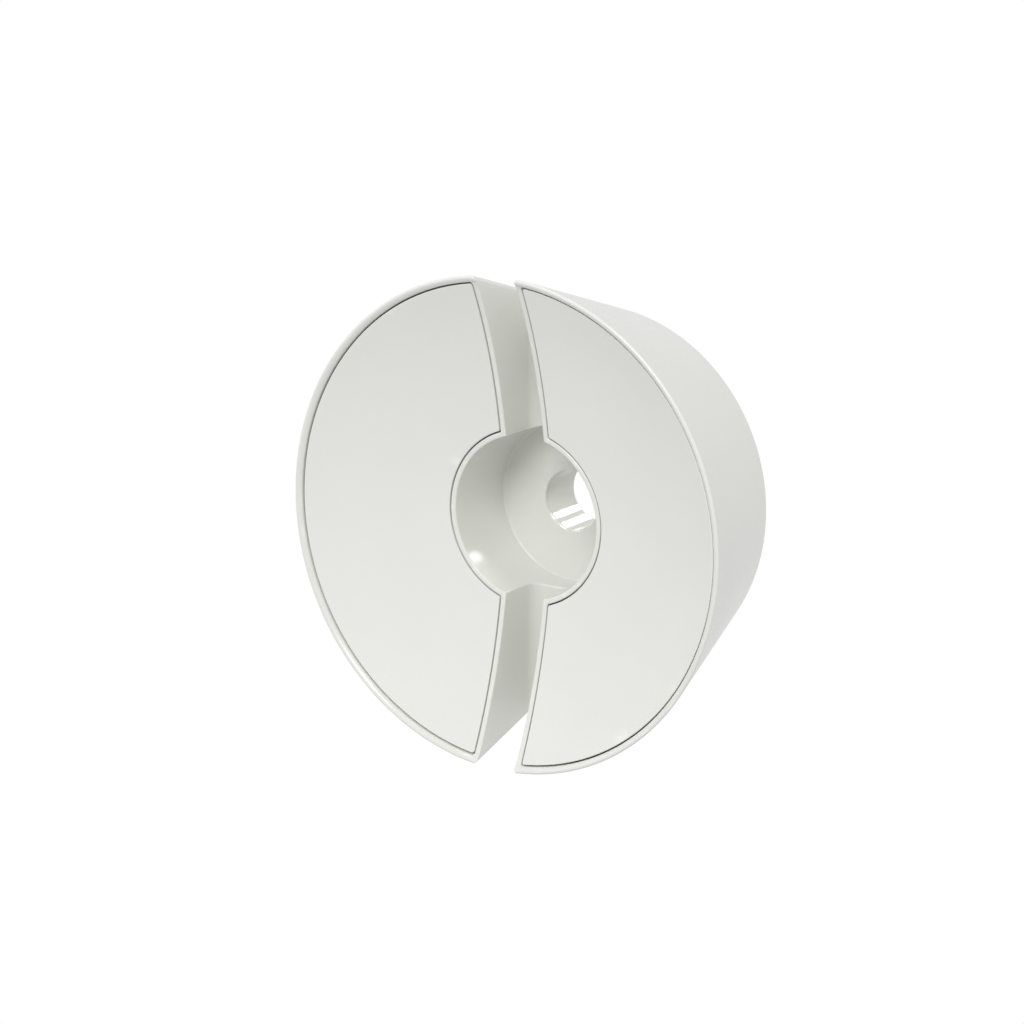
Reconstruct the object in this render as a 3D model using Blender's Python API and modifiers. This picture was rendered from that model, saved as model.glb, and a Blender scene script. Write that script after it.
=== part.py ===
"""Desk grommet: a conical moulded housing with a cable slot, a cable cup and a through bore.

Two dished covers close the chambers on either side of the slot. A sleeve lines the bore, and
a steel plate screwed on from inside the chambers stiffens the back, over a soft base pad.
Metres, +Z up, dished front upwards. The origin is the centre of the base pad's lower face.
"""

import bpy
import bmesh
from math import atan2, cos, degrees, pi, radians, sin, sqrt, tan
from mathutils import Matrix

# Housing, outside
FRONT_RADIUS = 0.0500        # widest point, at the front rim
FRONT_Z = 0.0402             # crest of the front rim
BACK_Z = 0.0005              # the housing's back rim, which the base pad stands proud of
TAPER = radians(15.4)        # the side wall's angle to the axis
RIM_ROUND = 0.0004           # rounding between the front rim's top and the side wall
BEAD_ROUND = 0.001365        # wider rounding between the dish and the rim's crest
BEAD_FOOT = 160              # degrees from the outward direction, where it leaves the dish
BEAD_MEET = 111              # and where it runs into the crest's own rounding

# Dished front
DISH_RADIUS = 0.1114         # sphere that the covers' faces lie on
DISH_LOW_Z = 0.02817         # lowest point of that sphere

# Cable slot, cup and bore
SLOT_HALF = 0.0045
SLOT_FLOOR_Z = 0.01825
SLOT_FILLET = 0.00325
CUP_RADIUS = 0.0168
CUP_FLOOR_Z = 0.0118
CUP_FILLET = 0.0004
BORE_RADIUS = 0.00647

# Covers and the shadow gap round them
GAP = 0.0003                 # clearance between any two touching pieces
OUTER_LIP = 0.00132
SLOT_LIP = 0.00108
CUP_LIP = 0.00108
COVER_THICKNESS = 0.0020
COVER_CORNER = 0.0005        # plan radius of a cover's corners

# Chambers under the covers
WALL = 0.0026                # outer wall
SLOT_WALL = 0.0028
CUP_WALL = 0.0031
CHAMBER_FLOOR_Z = 0.0070
CHAMBER_CORNER = 0.0015

# Cover pegs, their rubber sockets and the posts that hold them
PEG_RING = 0.034
PEG_ANGLES = (-58, 0, 58)    # degrees from the +X axis, mirrored for the left cover
PEG_RADIUS = 0.0014
PEG_BULB_RADIUS = 0.0017
PEG_TIP_Z = 0.0185
PEG_TIP_RADIUS = 0.00084
PEG_TAPER = 0.0018           # tip, up to where the bulb starts
PEG_BULB_END = 0.0028        # bulb's upper end, measured from the tip
PEG_NECK = 0.0034            # start of the plain shank, measured from the tip
SOCKET_BORE = 0.0020
SOCKET_RADIUS = 0.0032
SOCKET_FLANGE_RADIUS = 0.0046
SOCKET_FLANGE = 0.0009
SOCKET_BASE_Z = 0.0172
POST_RADIUS = 0.0052
POST_TOP_Z = 0.0265

# Back: plate, sleeve, screws and pad
PLATE_RADIUS = 0.0320
PLATE_LOW_Z = 0.0015
PLATE_THICKNESS = 0.0020
PLATE_CHAMFER = 0.0003
PAD_RADIUS = 0.0314
PAD_HOLE = 0.0120
PAD_THICKNESS = 0.0012
SLEEVE_RADIUS = 0.0085
SLEEVE_COLLAR_RADIUS = 0.0110
SLEEVE_COLLAR = 0.0015
MOUTH_LIP = 0.0008           # housing web over the sleeve's front end
CORE_INNER = 0.0135          # ring-shaped core under the cup floor
CORE_OUTER = 0.0173
CORE_TOP_Z = 0.0093
POCKET_HALF = 0.0046         # core under each slot arm
POCKET_START = 0.0200
POCKET_END = 0.0310
POCKET_TOP_Z = 0.0155
SCREW_RING = 0.0270
SCREW_ANGLES = (-28, 28)
SCREW_RADIUS = 0.0020
SCREW_HEAD_RADIUS = 0.0038
SCREW_HEAD = 0.0024
SCREW_END_Z = 0.0017
HEAD_TOP_RADIUS = 0.0021
HEAD_SHOULDER_RADIUS = 0.0034
HEAD_SHOULDER = 0.0007       # drop from the head's top to its shoulder
HEAD_EDGE = 0.0017           # drop from the head's top to its full width
SCREW_POINT = 0.0004         # chamfer at the screw's end
SCREW_POINT_RADIUS = 0.0015
HEX_KEY_RADIUS = 0.00145
HEX_KEY_DEPTH = 0.0014
WASHER_RADIUS = 0.0045
WASHER_THICKNESS = 0.0008

# How far a cutter or a joined piece runs past the surface it meets
OVERLAP = 0.001
CLEAR = 0.005

# Fineness
ROUND_STEPS = 48             # sides of the large turned shapes
BORE_STEPS = 32              # sides of the sleeve
SMALL_STEPS = 16             # sides of pegs, sockets, screws and washers
DISH_STEPS = 7

# Worked out from the above
SPHERE_Z = DISH_LOW_Z + DISH_RADIUS
RIM_CENTRE_R = FRONT_RADIUS - RIM_ROUND
RIM_CENTRE_Z = FRONT_Z - RIM_ROUND
BEAD_CENTRE_R = RIM_CENTRE_R - (BEAD_ROUND - RIM_ROUND) * cos(radians(BEAD_MEET))
BEAD_CENTRE_Z = RIM_CENTRE_Z - (BEAD_ROUND - RIM_ROUND) * sin(radians(BEAD_MEET))
BEAD_START = BEAD_CENTRE_R + BEAD_ROUND * cos(radians(BEAD_FOOT))
RECESS_OUTER = FRONT_RADIUS - OUTER_LIP
RECESS_SLOT = SLOT_HALF + SLOT_LIP
RECESS_CUP = CUP_RADIUS + CUP_LIP
PLATE_TOP_Z = PLATE_LOW_Z + PLATE_THICKNESS
WALL_LOW_Z = PLATE_TOP_Z + GAP
COLLAR_TOP_Z = WALL_LOW_Z + GAP + SLEEVE_COLLAR
SLEEVE_TOP_Z = CUP_FLOOR_Z - MOUTH_LIP - GAP
WASHER_LOW_Z = CHAMBER_FLOOR_Z + GAP
HEAD_LOW_Z = WASHER_LOW_Z + WASHER_THICKNESS + GAP
SOCKET_FLANGE_Z = POST_TOP_Z + GAP

for item in list(bpy.data.objects):
    bpy.data.objects.remove(item)


def make_collection(name):
    collection = bpy.data.collections.new(name)
    bpy.context.scene.collection.children.link(collection)
    return collection


PARTS = make_collection("desk_grommet")
CUTTERS = make_collection("cutters")


def make_material(name, colour, roughness, metallic=0.0):
    material = bpy.data.materials.new(name)
    material.use_nodes = True
    shader = material.node_tree.nodes["Principled BSDF"]
    shader.inputs["Base Color"].default_value = (*colour, 1.0)
    shader.inputs["Roughness"].default_value = roughness
    shader.inputs["Metallic"].default_value = metallic
    return material


HOUSING_PLASTIC = make_material("housing_plastic", (0.80, 0.80, 0.77), 0.35)
COVER_PLASTIC = make_material("cover_plastic", (0.81, 0.81, 0.79), 0.40)
SLEEVE_PLASTIC = make_material("sleeve_plastic", (0.80, 0.80, 0.77), 0.12)
PLATE_STEEL = make_material("plate_steel", (0.62, 0.63, 0.64), 0.38, 1.0)
SCREW_STEEL = make_material("screw_steel", (0.55, 0.56, 0.57), 0.30, 1.0)
SOCKET_RUBBER = make_material("socket_rubber", (0.06, 0.06, 0.06), 0.80)
PAD_RUBBER = make_material("pad_rubber", (0.16, 0.16, 0.16), 0.85)


def arc(centre_r, centre_z, radius, start, end, steps):
    """Points along an arc, angles in degrees from the outward direction."""
    angles = [radians(start + (end - start) * i / steps) for i in range(steps + 1)]
    return [(centre_r + radius * cos(a), centre_z + radius * sin(a)) for a in angles]


def dish_z(radius, rise=0.0):
    """Height of the dish's sphere, or of one that stands off it by rise, at a radius."""
    return SPHERE_Z - sqrt((DISH_RADIUS - rise) ** 2 - radius ** 2)


def dish_line(start, end, rise=0.0):
    radii = [start + (end - start) * i / DISH_STEPS for i in range(DISH_STEPS + 1)]
    return [(radius, dish_z(radius, rise)) for radius in radii]


def cone_radius(height, inset=0.0):
    """Radius of the housing's side at a height, or of a surface inset from it."""
    at_rim = RIM_CENTRE_R + RIM_ROUND * cos(TAPER)
    below_rim = RIM_CENTRE_Z - RIM_ROUND * sin(TAPER) - height
    return at_rim - below_rim * tan(TAPER) - inset / cos(TAPER)


def place(item, collection, material=None):
    collection.objects.link(item)
    if collection is CUTTERS:
        item.hide_render = True
        item.display_type = "WIRE"
    if material:
        item.data.materials.append(material)
    return item


def turned(name, profile, collection, material=None, closed=False, steps=ROUND_STEPS, at=(0, 0)):
    """A profile of (radius, height) points, which runs down its outer side, turned round Z."""
    mesh = bpy.data.meshes.new(name)
    count = len(profile)
    edges = [(i, i + 1) for i in range(count - 1)]
    if closed:
        edges.append((count - 1, 0))
    mesh.from_pydata([(radius, 0.0, height) for radius, height in profile], edges, [])
    item = bpy.data.objects.new(name, mesh)
    item.location = (at[0], at[1], 0.0)
    screw = item.modifiers.new("turn", "SCREW")
    screw.steps = steps
    screw.render_steps = steps
    screw.use_merge_vertices = True
    screw.merge_threshold = 1e-6
    return place(item, collection, material)


def ring(inner, outer, low, high, chamfer=0.0):
    """Profile of a flat ring with chamfered outer edges."""
    return [
        (inner, high),
        (outer - chamfer, high),
        *([(outer, high - chamfer), (outer, low + chamfer)] if chamfer else []),
        (outer - chamfer, low),
        (inner, low),
    ]


def extruded(name, outline, low, high, collection, material=None, rotation=None):
    """A flat outline with a thickness, as a mesh so that Boolean modifiers can use it."""
    curve = bpy.data.curves.new(name, "CURVE")
    curve.dimensions = "2D"
    curve.fill_mode = "BOTH"
    curve.extrude = (high - low) / 2
    spline = curve.splines.new("POLY")
    spline.points.add(len(outline) - 1)
    for point, (x, y) in zip(spline.points, outline):
        point.co = (x, y, 0.0, 1.0)
    spline.use_cyclic_u = True
    guide = bpy.data.objects.new(name + "_outline", curve)
    guide.matrix_world = (rotation or Matrix()) @ Matrix.Translation((0, 0, (low + high) / 2))
    bpy.context.scene.collection.objects.link(guide)
    bpy.context.view_layer.update()
    graph = bpy.context.evaluated_depsgraph_get()
    mesh = bpy.data.meshes.new_from_object(guide.evaluated_get(graph))
    item = bpy.data.objects.new(name, mesh)
    item.matrix_world = guide.matrix_world
    bpy.data.objects.remove(guide)
    work = bmesh.new()
    work.from_mesh(mesh)
    bmesh.ops.remove_doubles(work, verts=work.verts, dist=1e-7)
    bmesh.ops.recalc_face_normals(work, faces=work.faces)
    work.to_mesh(mesh)
    work.free()
    return place(item, collection, material)


def combine(item, other, operation):
    boolean = item.modifiers.new(operation.lower(), "BOOLEAN")
    boolean.object = other
    boolean.operation = operation
    boolean.solver = "EXACT"
    return item


def half_moon(slot_x, outer, cup, corner):
    """Outline of the region right of the slot, between the cup and the outer circle."""
    outer_y = sqrt((outer - corner) ** 2 - (slot_x + corner) ** 2)
    cup_y = sqrt((cup + corner) ** 2 - (slot_x + corner) ** 2)
    outer_end = degrees(atan2(outer_y, slot_x + corner))
    cup_end = degrees(atan2(cup_y, slot_x + corner))
    outer_steps = ROUND_STEPS * 11 // 24
    cup_steps = ROUND_STEPS // 4
    corner_x = slot_x + corner
    return [
        *arc(0, 0, outer, -outer_end, outer_end, outer_steps),
        *arc(corner_x, outer_y, corner, outer_end, 180, 3)[1:],
        *arc(corner_x, cup_y, corner, 180, 180 + cup_end, 3),
        *arc(0, 0, cup, cup_end, -cup_end, cup_steps)[1:],
        *arc(corner_x, -cup_y, corner, 180 - cup_end, 180, 3)[1:],
        *arc(corner_x, -outer_y, corner, 180, 360 - outer_end, 3)[:-1],
    ]


def mirrored(outline):
    return [(-x, y) for x, y in reversed(outline)]


def sided(outline, side):
    """The outline on the right, side 1, or mirrored to the left, side -1."""
    return outline if side > 0 else mirrored(outline)


def polar(distance, angle, side):
    return (side * distance * cos(radians(angle)), distance * sin(radians(angle)))


def above_dish(name, rise):
    """A solid that fills everything over the dish's sphere, or over one that stands off it."""
    reach = FRONT_RADIUS + CLEAR
    top = FRONT_Z + 2 * CLEAR
    profile = [(0.0, top), (reach, top), *dish_line(reach, 0.0, rise)]
    return turned(name, profile, CUTTERS)


def slot_outline():
    """Cross-section of the cable slot, with rounded lower corners, as (x, -z) points."""
    inner = SLOT_HALF - SLOT_FILLET
    top = FRONT_Z + CLEAR
    low = SLOT_FLOOR_Z + SLOT_FILLET
    section = [
        (-SLOT_HALF, top),
        *arc(-inner, low, SLOT_FILLET, 180, 270, 6),
        *arc(inner, low, SLOT_FILLET, 270, 360, 6),
        (SLOT_HALF, top),
    ]
    return [(x, -z) for x, z in section]


def housing_profile():
    """The housing before its slot and chambers are cut, from the cup's lip outwards."""
    side_top = RIM_CENTRE_Z - RIM_ROUND * sin(TAPER)
    return [
        *dish_line(CUP_RADIUS, BEAD_START)[:-1],
        *arc(BEAD_CENTRE_R, BEAD_CENTRE_Z, BEAD_ROUND, BEAD_FOOT, BEAD_MEET, 3)[:-1],
        *arc(RIM_CENTRE_R, RIM_CENTRE_Z, RIM_ROUND, BEAD_MEET, 90, 1)[:-1],
        *arc(RIM_CENTRE_R, RIM_CENTRE_Z, RIM_ROUND, 90, 0, 4),
        (cone_radius(side_top), side_top),
        (cone_radius(BACK_Z), BACK_Z),
        (PLATE_RADIUS + GAP, BACK_Z),
        (PLATE_RADIUS + GAP, WALL_LOW_Z),
        (CORE_OUTER, WALL_LOW_Z),
        (CORE_OUTER, CORE_TOP_Z),
        (CORE_INNER, CORE_TOP_Z),
        (CORE_INNER, WALL_LOW_Z),
        (SLEEVE_COLLAR_RADIUS + GAP, WALL_LOW_Z),
        (SLEEVE_COLLAR_RADIUS + GAP, COLLAR_TOP_Z + GAP),
        (SLEEVE_RADIUS + GAP, COLLAR_TOP_Z + GAP),
        (SLEEVE_RADIUS + GAP, CUP_FLOOR_Z - MOUTH_LIP),
        (BORE_RADIUS, CUP_FLOOR_Z - MOUTH_LIP),
        (BORE_RADIUS, CUP_FLOOR_Z),
        *arc(CUP_RADIUS - CUP_FILLET, CUP_FLOOR_Z + CUP_FILLET, CUP_FILLET, 270, 360, 3),
    ]


def chamber_cutter(name, side):
    """Hollow under one cover: its outer wall follows the housing's taper."""
    outline = half_moon(SLOT_HALF + SLOT_WALL, FRONT_RADIUS, CUP_RADIUS + CUP_WALL, CHAMBER_CORNER)
    top = FRONT_Z + OVERLAP
    item = extruded(name, sided(outline, side), CHAMBER_FLOOR_Z, top, CUTTERS)
    low = CHAMBER_FLOOR_Z - OVERLAP
    high = top + OVERLAP
    taper = [(0.0, high), (cone_radius(high, WALL), high), (cone_radius(low, WALL), low), (0.0, low)]
    combine(item, turned(name + "_taper", taper, CUTTERS), "INTERSECT")
    return item


def cover_recess(name, side, floor):
    """Space over one ledge, which the cover and its shadow gap fill."""
    outline = half_moon(RECESS_SLOT, RECESS_OUTER, RECESS_CUP, COVER_CORNER)
    low = DISH_LOW_Z - CLEAR
    item = extruded(name, sided(outline, side), low, FRONT_Z + CLEAR, CUTTERS)
    return combine(item, floor, "INTERSECT")


def peg_post(angle, side):
    """Post on a chamber floor, with the blind hole that holds a rubber socket."""
    low = CHAMBER_FLOOR_Z - OVERLAP
    hole = SOCKET_RADIUS + GAP
    hole_low = SOCKET_BASE_Z - GAP
    profile = [
        (0.0, hole_low),
        (hole, hole_low),
        (hole, POST_TOP_Z),
        (POST_RADIUS, POST_TOP_Z),
        (POST_RADIUS, low),
        (0.0, low),
    ]
    return turned("peg_post", profile, CUTTERS, steps=SMALL_STEPS, at=polar(PEG_RING, angle, side))


def make_housing():
    housing = turned("housing", housing_profile(), PARTS, HOUSING_PLASTIC, closed=True)
    across = Matrix.Rotation(-pi / 2, 4, "X")
    reach = FRONT_RADIUS + CLEAR
    slot = extruded("slot", slot_outline(), -reach, reach, CUTTERS, rotation=across)
    combine(housing, slot, "DIFFERENCE")
    ledge = above_dish("ledge_level", -COVER_THICKNESS - GAP)
    for side, name in ((-1, "left"), (1, "right")):
        combine(housing, cover_recess(name + "_recess", side, ledge), "DIFFERENCE")
        combine(housing, chamber_cutter(name + "_chamber", side), "DIFFERENCE")
        for angle in PEG_ANGLES:
            combine(housing, peg_post(angle, side), "UNION")
        for angle in SCREW_ANGLES:
            combine(housing, screw_hole(angle, side), "DIFFERENCE")
    for side in (-1, 1):
        near, far = sorted((side * POCKET_START, side * POCKET_END))
        outline = [(-POCKET_HALF, near), (POCKET_HALF, near), (POCKET_HALF, far), (-POCKET_HALF, far)]
        pocket = extruded("slot_core", outline, WALL_LOW_Z - OVERLAP, POCKET_TOP_Z, CUTTERS)
        combine(housing, pocket, "DIFFERENCE")
    return housing


def screw_hole(angle, side):
    top = CHAMBER_FLOOR_Z + OVERLAP
    low = BACK_Z - OVERLAP
    radius = SCREW_RADIUS + GAP
    profile = [(0.0, top), (radius, top), (radius, low), (0.0, low)]
    return turned("screw_hole", profile, CUTTERS, steps=SMALL_STEPS, at=polar(SCREW_RING, angle, side))


def make_cover(name, side):
    """A dished plate with three barbed pegs under it. Its origin lies on its lift-off axis."""
    outline = half_moon(RECESS_SLOT + GAP, RECESS_OUTER - GAP, RECESS_CUP + GAP, COVER_CORNER)
    low = DISH_LOW_Z - CLEAR
    cover = extruded(name, sided(outline, side), low, FRONT_Z + CLEAR, PARTS, COVER_PLASTIC)
    combine(cover, above_dish(name + "_underside", -COVER_THICKNESS), "INTERSECT")
    combine(cover, above_dish(name + "_face", 0.0), "DIFFERENCE")
    root = dish_z(PEG_RING, -COVER_THICKNESS / 2)
    peg = [
        (0.0, root),
        (PEG_RADIUS, root),
        (PEG_RADIUS, PEG_TIP_Z + PEG_NECK),
        (PEG_BULB_RADIUS, PEG_TIP_Z + PEG_BULB_END),
        (PEG_BULB_RADIUS, PEG_TIP_Z + PEG_TAPER),
        (PEG_TIP_RADIUS, PEG_TIP_Z),
        (0.0, PEG_TIP_Z),
    ]
    for angle in PEG_ANGLES:
        at = polar(PEG_RING, angle, side)
        combine(cover, turned(name + "_peg", peg, CUTTERS, steps=SMALL_STEPS, at=at), "UNION")
    axis_x = side * (RECESS_SLOT + RECESS_OUTER) / 2
    cover.data.transform(Matrix.Translation((-axis_x, 0.0, 0.0)))
    cover.location.x += axis_x
    return cover


def make_sleeve():
    """Liner of the bore, dropped in from the back and held by its collar."""
    collar_low = WALL_LOW_Z + GAP
    profile = [
        (BORE_RADIUS, SLEEVE_TOP_Z),
        (SLEEVE_RADIUS, SLEEVE_TOP_Z),
        (SLEEVE_RADIUS, COLLAR_TOP_Z),
        (SLEEVE_COLLAR_RADIUS, COLLAR_TOP_Z),
        (SLEEVE_COLLAR_RADIUS, collar_low),
        (SLEEVE_RADIUS, collar_low),
        (SLEEVE_RADIUS, BACK_Z),
        (BORE_RADIUS, BACK_Z),
    ]
    return turned("bore_sleeve", profile, PARTS, SLEEVE_PLASTIC, closed=True, steps=BORE_STEPS)


def make_plate():
    """Steel disc in the back recess, which the screws draw against the housing."""
    profile = ring(SLEEVE_RADIUS + GAP, PLATE_RADIUS, PLATE_LOW_Z, PLATE_TOP_Z, PLATE_CHAMFER)
    plate = turned("back_plate", profile, PARTS, PLATE_STEEL, closed=True)
    for side in (-1, 1):
        for angle in SCREW_ANGLES:
            combine(plate, screw_hole(angle, side), "DIFFERENCE")
    return plate


def make_pad():
    profile = ring(PAD_HOLE, PAD_RADIUS, 0.0, PAD_THICKNESS, PLATE_CHAMFER)
    return turned("base_pad", profile, PARTS, PAD_RUBBER, closed=True)


def make_screw(name, angle, side):
    """Pan head machine screw with a hexagon socket."""
    top = HEAD_LOW_Z + SCREW_HEAD
    profile = [
        (0.0, top),
        (HEAD_TOP_RADIUS, top),
        (HEAD_SHOULDER_RADIUS, top - HEAD_SHOULDER),
        (SCREW_HEAD_RADIUS, top - HEAD_EDGE),
        (SCREW_HEAD_RADIUS, HEAD_LOW_Z),
        (SCREW_RADIUS, HEAD_LOW_Z),
        (SCREW_RADIUS, SCREW_END_Z + SCREW_POINT),
        (SCREW_POINT_RADIUS, SCREW_END_Z),
        (0.0, SCREW_END_Z),
    ]
    at = polar(SCREW_RING, angle, side)
    screw = turned(name, profile, PARTS, SCREW_STEEL, steps=SMALL_STEPS, at=at)
    low = top - HEX_KEY_DEPTH
    high = top + OVERLAP
    key = [(0.0, high), (HEX_KEY_RADIUS, high), (HEX_KEY_RADIUS, low), (0.0, low)]
    return combine(screw, turned(name + "_key", key, CUTTERS, steps=6, at=at), "DIFFERENCE")


def make_washer(name, angle, side):
    low = WASHER_LOW_Z
    profile = ring(SCREW_RADIUS + GAP, WASHER_RADIUS, low, low + WASHER_THICKNESS)
    at = polar(SCREW_RING, angle, side)
    return turned(name, profile, PARTS, SCREW_STEEL, closed=True, steps=SMALL_STEPS, at=at)


def make_socket(name, angle, side):
    """Rubber socket that grips a cover's peg, with a flange on the post's top."""
    profile = [
        (SOCKET_BORE, SOCKET_FLANGE_Z + SOCKET_FLANGE),
        (SOCKET_FLANGE_RADIUS, SOCKET_FLANGE_Z + SOCKET_FLANGE),
        (SOCKET_FLANGE_RADIUS, SOCKET_FLANGE_Z),
        (SOCKET_RADIUS, SOCKET_FLANGE_Z),
        (SOCKET_RADIUS, SOCKET_BASE_Z),
        (SOCKET_BORE, SOCKET_BASE_Z),
    ]
    at = polar(PEG_RING, angle, side)
    return turned(name, profile, PARTS, SOCKET_RUBBER, closed=True, steps=SMALL_STEPS, at=at)


make_housing()
make_cover("left_cover", -1)
make_cover("right_cover", 1)
make_sleeve()
make_plate()
make_pad()
for side_name, direction in (("left", -1), ("right", 1)):
    for number, place_angle in enumerate(SCREW_ANGLES, 1):
        make_screw(f"{side_name}_plate_screw_{number}", place_angle, direction)
        make_washer(f"{side_name}_washer_{number}", place_angle, direction)
    for number, place_angle in enumerate(PEG_ANGLES, 1):
        make_socket(f"{side_name}_peg_socket_{number}", place_angle, direction)
for part in PARTS.objects:
    part.data.shade_smooth()
    part.data.set_sharp_from_angle(angle=radians(30))
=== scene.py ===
from math import atan2, cos, degrees, pi, radians, sin, sqrt, tan

import bmesh
import bpy
from mathutils import Matrix, Vector
from mathutils.geometry import delaunay_2d_cdt, tessellate_polygon


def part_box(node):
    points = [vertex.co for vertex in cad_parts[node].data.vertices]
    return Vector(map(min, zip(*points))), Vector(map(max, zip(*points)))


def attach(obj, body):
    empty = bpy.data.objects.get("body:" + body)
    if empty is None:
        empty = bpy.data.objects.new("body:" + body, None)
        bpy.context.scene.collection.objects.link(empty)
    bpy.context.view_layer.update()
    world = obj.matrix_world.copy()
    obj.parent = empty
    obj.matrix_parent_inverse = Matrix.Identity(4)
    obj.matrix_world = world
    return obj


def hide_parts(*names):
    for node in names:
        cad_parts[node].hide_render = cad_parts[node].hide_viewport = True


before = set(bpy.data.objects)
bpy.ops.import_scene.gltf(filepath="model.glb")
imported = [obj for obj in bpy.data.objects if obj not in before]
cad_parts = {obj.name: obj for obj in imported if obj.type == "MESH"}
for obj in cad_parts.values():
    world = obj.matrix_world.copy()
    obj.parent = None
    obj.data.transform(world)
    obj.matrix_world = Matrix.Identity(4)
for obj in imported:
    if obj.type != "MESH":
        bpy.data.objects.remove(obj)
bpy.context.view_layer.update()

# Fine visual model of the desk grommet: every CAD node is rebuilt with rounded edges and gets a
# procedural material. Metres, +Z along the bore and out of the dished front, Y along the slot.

housing_low, housing_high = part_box("housing")
cover_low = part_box("right_cover")[0]
sleeve_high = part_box("bore_sleeve")[1]
plate_low, plate_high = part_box("back_plate")
pad_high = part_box("base_pad")[1]

# Housing, outside
FRONT_RADIUS = housing_high.x
FRONT_Z = housing_high.z
BACK_Z = housing_low.z
TAPER = radians(15.4)
RIM_ROUND = 0.0004
BEAD_ROUND = 0.001365
BEAD_FOOT = radians(160)    # where the rim's bead leaves the dish
BEAD_MEET = radians(111)    # where it runs into the rim's outer rounding
BACK_ROUND = 0.0005
DISH_RADIUS = 0.1114
DISH_LOW_Z = 0.02817

# Cable slot, cup and bore
SLOT_HALF = 0.0045
SLOT_FLOOR_Z = 0.01825
SLOT_FILLET = 0.00325
CUP_RADIUS = 0.0168
CUP_FLOOR_Z = 0.0118
CUP_FILLET = 0.00040
CUP_LIP_ROUND = 0.00034
BORE_RADIUS = 0.00647
MOUTH_ROUND = 0.00025
MOUTH_LIP = 0.0008

# Edge roundings: of the slot at the cup, along its lips and on the tapered side, then the rest
CUP_EDGE = 0.00040
LIP_EDGE = 0.00030
SIDE_EDGE = 0.00090
RECESS_EDGE = 0.00022
LEAST_EDGE = 0.00002
EDGE_FADE = 0.001           # the recess's edge sharpens over this distance from the rim
COVER_EDGE = 0.00016
POST_EDGE = 0.0003
SLEEVE_EDGE = 0.0003
PLATE_EDGE = 0.0003
PAD_EDGE = 0.00025
SOCKET_EDGE = 0.00025
SCREW_EDGE = 0.0002
WASHER_EDGE = 0.00015

# Edge cutters: a flare stops short of the surface's angle, then runs on past the surface
EDGE_MARGIN = radians(13)
FLARE_REACH = 0.35
FAR = 0.003
EDGE_STEPS = 6
RECESS_STEPS = 4
SETTLING_ROUNDS = 5         # a point's height and place along the slot depend on each other

# Covers, the shadow gap round them and the chambers below
GAP = 0.0003
OUTER_LIP = 0.00132
SLOT_LIP = 0.00108
CUP_LIP = 0.00108
COVER_THICKNESS = 0.0020
COVER_CORNER = 0.0005
WALL = 0.0026
SLOT_WALL = 0.0028
CUP_WALL = 0.0031
CHAMBER_FLOOR_Z = 0.0070
CHAMBER_CORNER = 0.0015
LEDGE_REACH_Z = 0.0355      # height whose side radius sets the chamber's mouth
OVERLAP = 0.001             # how far joined or cut solids pass each other

# Pegs, posts, sockets, screws and the back
PEG_RING = 0.034
PEG_ANGLES = (-58, 0, 58)
PEG_RADIUS = 0.0014
PEG_BULB_RADIUS = 0.0017
PEG_TIP_Z = cover_low.z
PEG_TIP_SHARE = 0.6         # the tip's radius as a share of the peg's
BULB_ROUND = 0.0004
BULB_LOW, BULB_HIGH, BULB_TOP = 0.0018, 0.0024, 0.0034      # heights above the tip
TIP_ROUND = 0.0003
SOCKET_BORE = 0.0020
SOCKET_RADIUS = 0.0032
SOCKET_FLANGE_RADIUS = 0.0046
SOCKET_FLANGE = 0.0009
SOCKET_BASE_Z = 0.0172
POST_RADIUS = 0.0052
POST_TOP_Z = 0.0265
SCREW_RING = 0.0270
SCREW_ANGLES = (-28, 28)
SCREW_RADIUS = 0.0020
SCREW_HEAD_RADIUS = 0.0038
SCREW_HEAD = 0.0024
SCREW_END_Z = 0.0017
HEAD_TOP_RADIUS = 0.0021
HEX_KEY_RADIUS = 0.00145
HEX_KEY_DEPTH = 0.0014
KEY_CHAMFER = 0.0001
KEY_CLEAR = 0.0005
KEY_POINT = 0.0003
HEAD_ROUND = 0.0017
THREAD_PITCH = 0.0007
THREAD_DEPTH = 0.0003
PLAIN_SHANK, PLAIN_END = 0.0012, 0.0010     # no thread this near the head and the end
POINT_HEIGHT, POINT_SHARE = 0.0004, 0.75
WASHER_RADIUS = 0.0045
WASHER_THICKNESS = 0.0008
PLATE_RADIUS = plate_high.x
PLATE_LOW_Z = plate_low.z
PLATE_TOP_Z = plate_high.z
PAD_RADIUS = pad_high.x
PAD_HOLE = 0.0120
PAD_TOP_Z = pad_high.z
RIB_PITCH = 0.0016
RIB_DEPTH = 0.0002
SLEEVE_RADIUS = 0.0085
SLEEVE_COLLAR_RADIUS = sleeve_high.x
SLEEVE_COLLAR = 0.0015
CORE_INNER = 0.0135
CORE_OUTER = 0.0173
CORE_TOP_Z = 0.0093
POCKET_HALF = 0.0046
POCKET_START = 0.0200
POCKET_END = 0.0310
POCKET_TOP_Z = 0.0155
POCKET_CORNER = 0.0012

# Fineness
LARGE_STEPS = 256
SLEEVE_STEPS = 128
PAD_STEPS = 192
SMALL_STEPS = 64
CORNER_STEPS = 8
COVER_GRID = 0.0018
GRID_ROW = 0.866            # spacing of a triangular grid's rows
GRID_MARGIN = 0.6
POINT_TOLERANCE = 0.0000001
COVER_EDGE_STEPS = 4
SHARP_ANGLE = 35            # degrees
RIB_SHARP_ANGLE = 60
FLAT_FACE_WEIGHT = 80

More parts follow.
